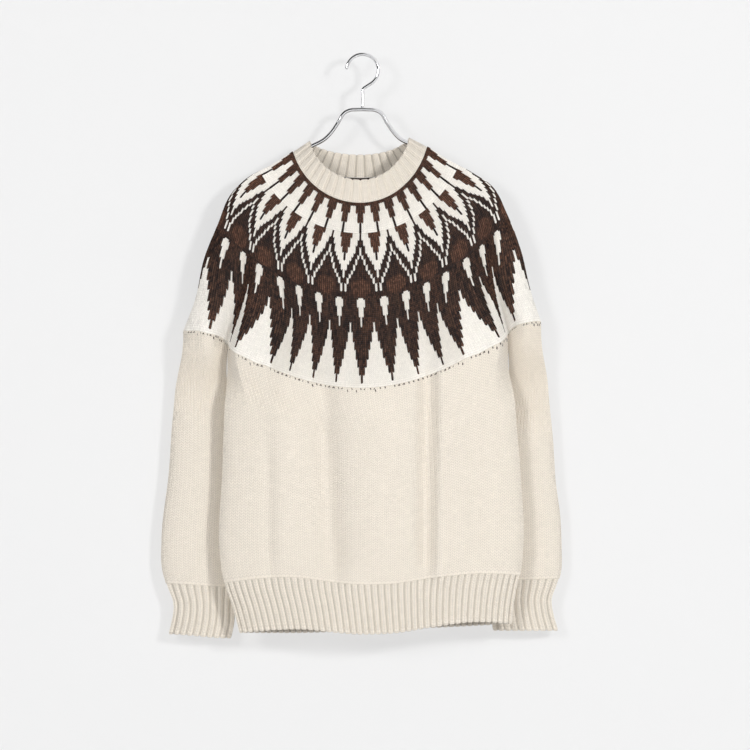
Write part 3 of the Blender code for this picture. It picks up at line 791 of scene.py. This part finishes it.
def yoke_colours(zone, stitch, row):
    """The yarn of each stitch of a zone of the yoke, read from its chart."""
    repeat = zone["repeat"]
    off = np.abs((stitch + repeat // 2) % repeat - repeat // 2)
    browns = wave_of(11, stitch, row, 1.0, 4.0)
    reds = wave_of(12, stitch, row, 7.0, 9.0)
    speck = np.random.default_rng(13).uniform(-1, 1, stitch.shape)
    brown_share = np.clip(0.42 + 0.5 * browns + 0.3 * speck, 0, 1)
    red_share = np.clip(0.12 + 0.35 * reds + 0.4 * speck, 0, 1)
    dark = blend(blend(ESPRESSO, BROWN, brown_share), RUST, red_share)
    white = WHITE * (1 + 0.03 * speck)
    rust = RUST * (1 + 0.35 * speck)
    deep = ESPRESSO * (1 + 0.5 * np.abs(speck))
    if zone is NECK_ZONE:
        width = step_of(NECK_DARTS, "dart", row)
        brown = (off <= (width - 1) / 2) | (width >= repeat)
        near = np.where(row < NECK_RUST_END, blend(dark, rust, 0.45), deep)
        return np.where(brown, near, white)
    if zone is PEAK_ZONE:
        half_peak = (step_of(PEAKS, "peak", row) - 1) / 2
        from_heart = repeat // 2 - off
        heart = from_heart <= (step_of(PEAKS, "heart", row) - 1) / 2
        peak = (off <= half_peak) | (row >= ALL_BROWN)
        step = step_of(ZIGZAG, "step", row)
        line = (off == step) & (row >= ZIGZAG["row"][0]) & (row < ZIGZAG_END)
        patch_across = off / RUST_PATCH["half_width"]
        patch_down = (row - RUST_PATCH["row"]) / RUST_PATCH["half_height"]
        patch = patch_across**2 + patch_down**2 + 0.25 * speck < 1
        found = np.where(peak, blend(dark, deep, 0.45), white)
        outline = peak & (off > step) & (row < ZIGZAG_END)
        found = np.where(outline, blend(dark, deep, 0.6), found)
        found = np.where(peak & patch, blend(dark, rust, 0.65), found)
        found = np.where(heart, blend(dark, rust, 0.75), found)
        found = np.where(heart & (from_heart == 0) & (row >= HEART_LINE), deep, found)
        return np.where(line, white, found)
    width = step_of(DARTS, "dart", row)
    brown = (off <= (width - 1) / 2) | (width >= repeat)
    drop = off <= (step_of(DARTS, "drop", row) - 1) / 2
    return np.where(brown & ~drop, dark, white)


def yoke_zone(builder, cloth, zone, above=None):
    """Adds a zone of the yoke below another; gives its first and last ring, with their places."""
    stitches = zone["stitches"]
    rows = zone["last"] - zone["first"]
    columns = np.arange(stitches * ACROSS_STITCH)
    share = (columns / ACROSS_STITCH - 0.5) / stitches
    p = np.abs((columns % ACROSS_STITCH) / ACROSS_STITCH - 0.5) * 2
    row = zone["first"] + np.arange(rows + 1)
    inside = np.clip(np.minimum(row - zone["first"], zone["last"] - row) / 3, 0, 1)
    down = (row[:, None] - YOKE_SLOPE * p[None, :] * inside[:, None]) / YOKE_ROWS
    rng = np.random.default_rng(YOKE_SEED + stitches)
    uneven = rng.normal(0, YOKE_RELIEF * YOKE_UNEVEN, down.shape)
    height = stitch_profile(p, 0.5, YOKE_RELIEF)[None, :] + uneven
    if above is not None:
        height[0] -= ZONE_STEP
    dart = ((share + 0.5) % 1.0 - 0.5) * DARTS_ROUND
    hung = np.interp(dart, HANG["dart"], HANG["place"])
    places = (dart + (hung - dart) * ease((down - HANG_TOP) / HANG_FADE)) / DARTS_ROUND
    points, normals = cloth.at(places, down)
    numbers = builder.rings(points + normals * height[..., None])
    stitch, stitch_row = np.meshgrid(np.arange(stitches), row[:-1])
    tints = yoke_colours(zone, stitch[..., None], stitch_row[..., None])
    tints = np.repeat(tints, ACROSS_STITCH, axis=1)
    light = tints.mean(-1, keepdims=True) > LIGHT_YARN
    edge, rise, uneven = (np.where(light, LIGHT_LEG_SHADE_AND_TONE[key], DARK_LEG_SHADE_AND_TONE[key]) for key in LIGHT_LEG_SHADE_AND_TONE)
    # Painted shade at each stitch's edges and painted light on its legs' middles, strongest in dark yarn
    shade = edge + rise * np.tile([0.0, 1.0, 1.0, 0.0], stitches)[None, :, None]
    leg = 1 + rng.normal(0, 1, tints.shape[:2])[..., None] * uneven
    wide = np.full(len(columns), 1 / ACROSS_STITCH)
    builder.join(numbers, tints * shade * leg, knit=(row, columns / ACROSS_STITCH, wide))
    order = np.argsort(share % 1.0)
    top, foot, places = numbers[0][order], numbers[-1][order], (share % 1.0)[order]
    if above is not None:
        # The small step between zones is painted darker than its row: painted shade in the step
        builder.zip(above["foot"], above["places"], top, places, tints[0].mean(0) * 0.7)
    return {"top": top, "foot": foot, "places": places}


def yoke_piece(name, cloth, zones, material):
    """A part of the yoke: its zones' knitting outside, and the floats' side inside."""
    builder = Builder()
    rings = []
    for zone in zones:
        rings.append(yoke_zone(builder, cloth, zone, rings[-1] if rings else None))
    top, foot = zones[0]["first"] / YOKE_ROWS, zones[-1]["last"] / YOKE_ROWS
    inner_columns, inner_rows = 320, 14
    inner_share = np.arange(inner_columns) / inner_columns
    places = (inner_share + 0.5) % 1.0 - 0.5
    floats = INSIDE_BROWN if foot < 1 else WHITE
    inner = lining(builder, cloth, places, top, foot, inner_rows, floats)
    builder.zip(rings[0]["top"], rings[0]["places"], inner[0], inner_share, INSIDE_BROWN, way=-1)
    builder.zip(rings[-1]["foot"], rings[-1]["places"], inner[-1], inner_share, floats)
    return builder.make(name, material)


def node(tree, kind, *linked, **settings):
    """A shader node, with its first inputs linked in turn and its settings made."""
    made = tree.nodes.new("ShaderNode" + kind)
    for place, source in enumerate(linked):
        tree.links.new(source, made.inputs[place])
    for name, value in settings.items():
        setattr(made, name, value)
    return made


def noise(tree, coordinate, scale, detail, roughness=0.5):
    made = node(tree, "TexNoise", coordinate)
    made.inputs["Scale"].default_value = scale
    made.inputs["Detail"].default_value = detail
    made.inputs["Roughness"].default_value = roughness
    return made.outputs["Fac"]


def span(tree, value, low, high, new_low, new_high):
    made = node(tree, "MapRange", value)
    for place, limit in enumerate((low, high, new_low, new_high)):
        made.inputs[place + 1].default_value = limit
    return made.outputs["Result"]


def combine(tree, operation, first, second):
    return node(tree, "Math", first, second, operation=operation).outputs["Value"]


def to_edge(tree, value, step):
    """How far a value is from the nearest of the edges that lie 2 steps apart."""
    made = node(tree, "Math", value, operation="PINGPONG")
    made.inputs[1].default_value = step
    return made.outputs["Value"]


def bump(tree, height, strength, distance):
    """Raises a material's surface a little."""
    made = node(tree, "Bump")
    made.inputs["Strength"].default_value = strength
    made.inputs["Distance"].default_value = distance
    tree.links.new(height, made.inputs["Height"])
    tree.links.new(made.outputs["Normal"], tree.nodes["Principled BSDF"].inputs["Normal"])


def new_material(name, **inputs):
    """A material with its shader's inputs set; gives its tree and shader too."""
    material = bpy.data.materials.new(name)
    material.use_nodes = True
    tree = material.node_tree
    shader = tree.nodes["Principled BSDF"]
    for words, value in inputs.items():
        shader.inputs[words.replace("_", " ")].default_value = value
    return material, tree, shader


def wool(name, sheen, blotch, mottle, fibre_bump, row_gap_shade, leg_gap_shade):
    """Matt mottled wool in its faces' colours, with painted shade in row and leg gaps; fibrous."""
    material, tree, shader = new_material(
        name, Roughness=0.95, Specular_IOR_Level=0.25, Sheen_Weight=sheen, Sheen_Roughness=0.6
    )
    place = node(tree, "TexCoord").outputs["Object"]
    broad = span(tree, noise(tree, place, 30, 3), 0.3, 0.7, 1 - blotch, 1 + blotch)
    fine = span(tree, noise(tree, place, 1100, 2), 0.25, 0.75, 1 - mottle, 1 + mottle)
    in_stitch = node(tree, "SeparateXYZ", node(tree, "UVMap", uv_map="knit").outputs["UV"])
    from_row = to_edge(tree, in_stitch.outputs["Y"], 0.5)
    from_leg = to_edge(tree, in_stitch.outputs["X"], 0.25)
    # Painted shade: the colour darkens towards each row's edge and each leg's edge
    row_shade = span(tree, from_row, 0.0, 0.28, row_gap_shade, 1.0)
    leg_shade = span(tree, from_leg, 0.0, 0.14, leg_gap_shade, 1.0)
    mottled = combine(tree, "MULTIPLY", broad, fine)
    shaded = combine(tree, "MULTIPLY", row_shade, leg_shade)
    yarn_and_painted_shade = node(tree, "Attribute", attribute_name="yarn_and_painted_shade").outputs["Color"]
    colour = node(tree, "VectorMath", yarn_and_painted_shade, operation="SCALE")
    tree.links.new(combine(tree, "MULTIPLY", mottled, shaded), colour.inputs["Scale"])
    tree.links.new(colour.outputs["Vector"], shader.inputs["Base Color"])
    stretch = node(tree, "Mapping", place)
    stretch.inputs["Scale"].default_value = (1.0, 1.0, 0.35)
    fibres = span(tree, noise(tree, stretch.outputs["Vector"], 1600, 3, 0.6), 0.0, 1.0, 0.0, 0.6)
    stitches = span(tree, from_row, 0.0, 0.5, 0.0, 1.0)
    bump(tree, combine(tree, "ADD", fibres, stitches), fibre_bump, 0.0006)
    return material


def chrome(name):
    """Polished chrome with faint wipe marks."""
    material, tree, shader = new_material(name, Base_Color=(0.78, 0.78, 0.79, 1), Metallic=1.0)
    place = node(tree, "TexCoord").outputs["Object"]
    wipes = span(tree, noise(tree, place, 60, 4), 0.3, 0.7, 0.06, 0.16)
    tree.links.new(wipes, shader.inputs["Roughness"])
    bump(tree, noise(tree, place, 250, 2), 0.05, 0.0002)
    return material


def swept(name, path, radius, metal):
    """A round bar along a path in the plane y = 0, with rounded ends."""
    path = np.array(path, float)
    ahead = np.gradient(path, axis=0)
    ahead /= np.linalg.norm(ahead, axis=1, keepdims=True)
    rings = [(point, way, radius) for point, way in zip(path, ahead)]
    for angle in CAP_ANGLES:
        reach, size = radius * sin(angle), radius * cos(angle)
        rings.insert(0, (path[0] - ahead[0] * reach, ahead[0], size))
        rings.append((path[-1] + ahead[-1] * reach, ahead[-1], size))
    angle = 2 * pi * np.arange(BAR_SIDES) / BAR_SIDES
    points = []
    for (x, z), (dx, dz), size in rings:
        out = size * np.cos(angle)
        points.append(np.stack([x - dz * out, size * np.sin(angle), z + dx * out], axis=1))
    builder = Builder()
    numbers = builder.rings(np.array(points))
    builder.join(numbers, (1, 1, 1))
    piece = builder.make(name, metal)
    mesh = piece.data
    solid = bmesh.new()
    solid.from_mesh(mesh)
    solid.verts.ensure_lookup_table()
    for cap in (numbers[0], numbers[-1][::-1]):
        solid.faces.new([solid.verts[i] for i in cap])
    bmesh.ops.recalc_face_normals(solid, faces=solid.faces)
    solid.to_mesh(mesh)
    solid.free()
    mesh.shade_smooth()
    return piece


def arm_under_cloth(side):
    """Where a hanger arm lies, just under the shoulder line of collar and yoke."""
    def shoulder(v):
        return np.array([read(SHOULDER, side + "_x", v), -read(SHOULDER, side + "_down", v)])

    points = []
    for v in ARM_STOPS:
        ahead = shoulder(v + 0.01) - shoulder(v - 0.01)
        ahead /= np.linalg.norm(ahead)
        inward = np.array([-abs(ahead[1]) * np.sign(shoulder(v)[0]), -abs(ahead[0])])
        wall = COLLAR_WALL if v < UNDER_COLLAR else WALL
        points.append(shoulder(v) + inward * (wall + ROD_CLEARANCE + ROD_RADIUS))
    return points


def smooth_path(points, step):
    """A smooth curve through points, with a point about every step."""
    points = np.array(points, float)
    length = lengths_along(points)
    chart = {"at": length, "x": points[:, 0], "z": points[:, 1]}
    at = np.linspace(0, length[-1], int(length[-1] / step))
    return np.stack([read(chart, "x", at), read(chart, "z", at)], axis=1)


def make_hanger(metal):
    neck = [(x, -BAR_DOWN - below) for x, below in zip(HANGER_NECK["x"], HANGER_NECK["below_bar"])]
    left = [(-x, z) for x, z in neck] + arm_under_cloth("left")
    right = neck + arm_under_cloth("right")
    rod = swept("hanger_rod_chrome", smooth_path(left[::-1] + right, 2.5), ROD_RADIUS, metal)
    centre_z = HOOK_WIRE - HOOK_BEND
    crown = [
        (HOOK_BEND * cos(radians(a)), centre_z + HOOK_BEND * sin(radians(a)))
        for a in np.linspace(HOOK_TIP_ANGLE, HOOK_TURN_ANGLE, 72)
    ]
    turn = radians(HOOK_TURN_ANGLE)
    corner_z = crown[-1][1] + (crown[-1][0] - HOOK_STEM_X) / sin(turn) * cos(turn)
    bend_x = HOOK_STEM_X + HOOK_NECK_BEND
    bend_z = corner_z + HOOK_NECK_BEND * sin(turn / 2) / cos(turn / 2)
    neck_bend = [
        (bend_x + HOOK_NECK_BEND * cos(a), bend_z + HOOK_NECK_BEND * sin(a))
        for a in np.linspace(pi + turn, pi, 14)
    ]
    foot = [(HOOK_STEM_X, z) for z in np.linspace(neck_bend[-1][1] - 2, -BAR_DOWN + ROD_RADIUS, 10)]
    hook = swept("hanger_hook_chrome", crown + neck_bend + foot, HOOK_WIRE, metal)
    for piece, solid in ((rod, "hanger_rod"), (hook, "hanger_hook")):
        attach(piece, "root")
        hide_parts(solid)


def dress(piece, nodes):
    """Hangs a knitted piece from the root and hides the solids that it stands for."""
    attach(piece, "root")
    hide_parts(*nodes)


def even_places(ribs, start, stop):
    """Where ribs lie when they are evenly spread between two places round."""
    return lambda rib: start + (stop - start) * rib / ribs


def collar_places(rib):
    """Where ribs lie round the neck: so many on the front, then on the back."""
    front = -0.25 + 0.5 * rib / COLLAR_RIBS["front"]
    back = 0.25 + 0.5 * (rib - COLLAR_RIBS["front"]) / COLLAR_RIBS["back"]
    place = np.where(rib < COLLAR_RIBS["front"], front, back)
    return (place + 0.5) % 1.0 - 0.5


def make_sweater():
    cream = {"sheen": 0.15, "blotch": 0.005, "mottle": 0.04, "fibre_bump": 0.6}
    plain = wool("plain wool", **cream, row_gap_shade=0.82, leg_gap_shade=0.90)
    ribbed = wool("rib wool", **cream, row_gap_shade=0.80, leg_gap_shade=0.84)
    patterned = wool(
        "yoke wool", sheen=0.06, blotch=0.01, mottle=0.08, fibre_bump=0.7, row_gap_shade=0.86, leg_gap_shade=0.94
    )

    ring = np.linspace(-0.5, 0.5, 1201)
    yoke_cloth = Cloth(yoke, ring, np.linspace(0, 1, 121))
    upper = yoke_piece("yoke_upper_knit", yoke_cloth, (NECK_ZONE, PEAK_ZONE), patterned)
    lower = yoke_piece("yoke_lower_knit", yoke_cloth, (DART_ZONE,), patterned)
    both = ("yoke_front", "yoke_back")
    dress(upper, both)
    dress(lower, both)

    collar = rib_piece(
        "collar_rib", Cloth(yoke, ring, np.linspace(COLLAR_TOP, 0, 31)), collar_places,
        sum(COLLAR_RIBS.values()), COLLAR_ROWS, (COLLAR_TOP, COLLAR_FOOT), COLLAR_KNIT_WALL,
        ribbed, COLLAR_STYLE, seed=41,
    )
    dress(collar, ("collar_front", "collar_back"))

    around = (-1, 3)
    places = np.linspace(*around, 1601)
    body_cloth = Cloth(body, places, np.linspace(0, 1, 101))
    body_knit = tube_piece("body_knit", body_cloth, around, BODY_WALES, BODY_ROWS, plain, seed=51)
    dress(body_knit, ("body_front", "body_back"))
    hem = rib_piece(
        "hem_rib", Cloth(body, places, np.linspace(1, 2, 41)), even_places(HEM_RIBS, *around),
        HEM_RIBS, HEM_ROWS, (1.0, 2.0), KNIT_WALL, ribbed, EDGE_STYLE, seed=61,
    )
    dress(hem, ("hem_front", "hem_back"))

    places = np.linspace(-1, 1, 401)
    for side, way in (("left", -1), ("right", 1)):
        def shape(c, w, side=side):
            return sleeve(c, w, side)

        around = (-way, way)
        sleeve_cloth = Cloth(shape, places, np.linspace(0, 1, 121), way)
        knit = tube_piece(
            f"sleeve_{side}_knit", sleeve_cloth, around, SLEEVE_WALES, SLEEVE_ROWS, plain, seed=71
        )
        dress(knit, (f"sleeve_{side}",))
        cuff_cloth = Cloth(shape, places, np.linspace(1, 2, 41), way)
        cuff = rib_piece(
            f"cuff_{side}_rib", cuff_cloth, even_places(CUFF_RIBS, *around), CUFF_RIBS, CUFF_ROWS,
            (1.0, 2.0), KNIT_WALL, ribbed, EDGE_STYLE, seed=81,
        )
        dress(cuff, (f"cuff_{side}",))


def make_stage():
    """A pale floor, and a pale wall that is clear when seen from behind."""
    bpy.ops.mesh.primitive_plane_add(size=STAGE_SIZE, location=(0, 0, FLOOR_Z))
    floor = bpy.context.object
    floor.name = "floor"
    floor.data.materials.append(new_material("floor paint", Base_Color=FLOOR_PAINT, Roughness=0.9)[0])
    bpy.ops.mesh.primitive_plane_add(size=STAGE_SIZE, location=(0, WALL_Y, 0), rotation=(pi / 2, 0, 0))
    wall = bpy.context.object
    wall.name = "wall"
    paint, tree, shader = new_material(
        "wall paint", Base_Color=WALL_PAINT, Roughness=0.9, Emission_Color=(1, 1, 1, 1),
        Emission_Strength=0.55,
    )
    from_behind = node(tree, "NewGeometry").outputs["Backfacing"]
    clear = node(tree, "BsdfTransparent")
    mix = node(tree, "MixShader", from_behind, shader.outputs["BSDF"], clear.outputs["BSDF"])
    tree.links.new(mix.outputs["Shader"], tree.nodes["Material Output"].inputs["Surface"])
    wall.data.materials.append(paint)


def area_light(name, place, size, power):
    """A round soft light that points at the sweater's middle."""
    data = bpy.data.lights.new(name, "AREA")
    data.shape = "DISK"
    data.size = size
    data.energy = power
    light = bpy.data.objects.new(name, data)
    light.location = place
    way = Vector(LIGHT_TARGET) - Vector(place)
    light.rotation_euler = way.to_track_quat("-Z", "Y").to_euler()
    bpy.context.collection.objects.link(light)


def make_light():
    """Soft studio light: pale all round, a little darker up on the left, with a key on the right."""
    world = bpy.data.worlds.new("studio")
    bpy.context.scene.world = world
    world.use_nodes = True
    tree = world.node_tree
    background = tree.nodes["Background"]
    background.inputs["Color"].default_value = (1, 1, 1, 1)
    background.inputs["Strength"].default_value = WORLD_LIGHT
    seen = node(tree, "Background")
    seen.inputs["Color"].default_value = (1, 1, 1, 1)
    way = node(tree, "VectorMath", node(tree, "TexCoord").outputs["Generated"], operation="DOT_PRODUCT")
    way.inputs[1].default_value = DARK_CORNER
    tree.links.new(span(tree, way.outputs["Value"], 0.50, 0.62, 0.88, 0.01), seen.inputs["Strength"])
    rays = node(tree, "LightPath").outputs
    mirrored = combine(tree, "MAXIMUM", rays["Is Camera Ray"], rays["Is Glossy Ray"])
    mix = node(tree, "MixShader", mirrored, background.outputs["Background"], seen.outputs["Background"])
    tree.links.new(mix.outputs["Shader"], tree.nodes["World Output"].inputs["Surface"])
    for light in LIGHTS:
        area_light(**light)


def make_camera():
    """The photo's view: straight on, its middle a little right of the hook."""
    lens, sensor = 300.0, 36.0
    middle_x = (PHOTO_PIXELS / 2 - HOOK_PIXEL_X) * MM_PER_PIXEL
    middle_z = -(PHOTO_PIXELS / 2 - HOOK_PIXEL_Y) * MM_PER_PIXEL
    distance = MM_PER_PIXEL * PHOTO_PIXELS * lens / sensor
    data = bpy.data.cameras.new("camera")
    data.lens, data.sensor_width = lens, sensor
    data.clip_end = 50
    camera = bpy.data.objects.new("camera", data)
    camera.location = (middle_x * MM, -distance * MM, middle_z * MM)
    camera.rotation_euler = (pi / 2, 0, 0)
    bpy.context.collection.objects.link(camera)
    bpy.context.scene.camera = camera


make_camera()
make_sweater()
make_hanger(chrome("chrome plate"))
make_stage()
make_light()
bpy.context.scene.view_settings.view_transform = "Standard"
